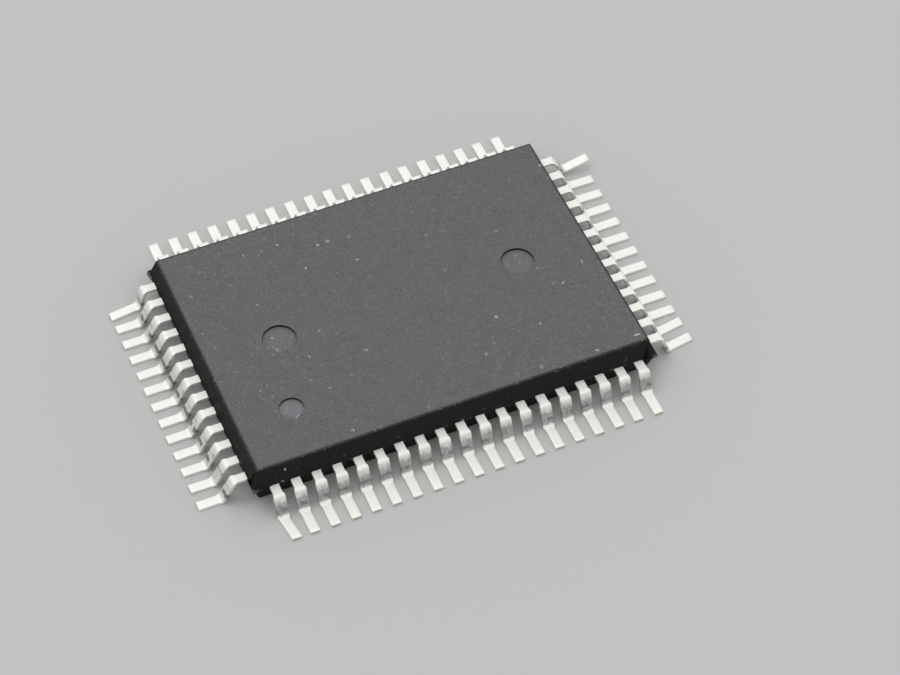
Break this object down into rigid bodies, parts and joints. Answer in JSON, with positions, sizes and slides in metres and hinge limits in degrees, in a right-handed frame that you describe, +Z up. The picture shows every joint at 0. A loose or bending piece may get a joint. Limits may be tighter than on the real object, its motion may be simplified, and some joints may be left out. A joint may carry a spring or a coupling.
{
  "type": "integrated circuit",
  "caption": "Rectangular quad flat pack: black moulded body with shallow round marks on top, gull-wing solder leads along every edge, and a wire-bonded die on its paddle inside.",
  "frame": {"origin": "middle of the seating plane, under the centre of the body", "axes": "+X along the long side, away from the end with the index mark; +Y towards the long side away from the index mark; +Z up from the seating plane"},
  "size_m": [0.0249, 0.0186, 0.0022],
  "materials": {
    "mould_compound": "fine matt black epoxy moulding",
    "tin_plate": "satin tin plating over a nickel-iron lead frame",
    "frame_metal": "bare rolled lead frame strip",
    "die_adhesive": "cured silver-filled adhesive",
    "silicon": "sawn and polished silicon",
    "gold_wire": "drawn gold wire"
  },
  "bodies": {
    "root": {"body": "mould_compound", "front_leads": "tin_plate", "rear_leads": "tin_plate", "left_leads": "tin_plate", "right_leads": "tin_plate", "die_paddle": "frame_metal", "die_attach": "die_adhesive", "die": "silicon", "front_wires": "gold_wire", "rear_wires": "gold_wire", "left_wires": "gold_wire", "right_wires": "gold_wire"}
  },
  "joints": []
}
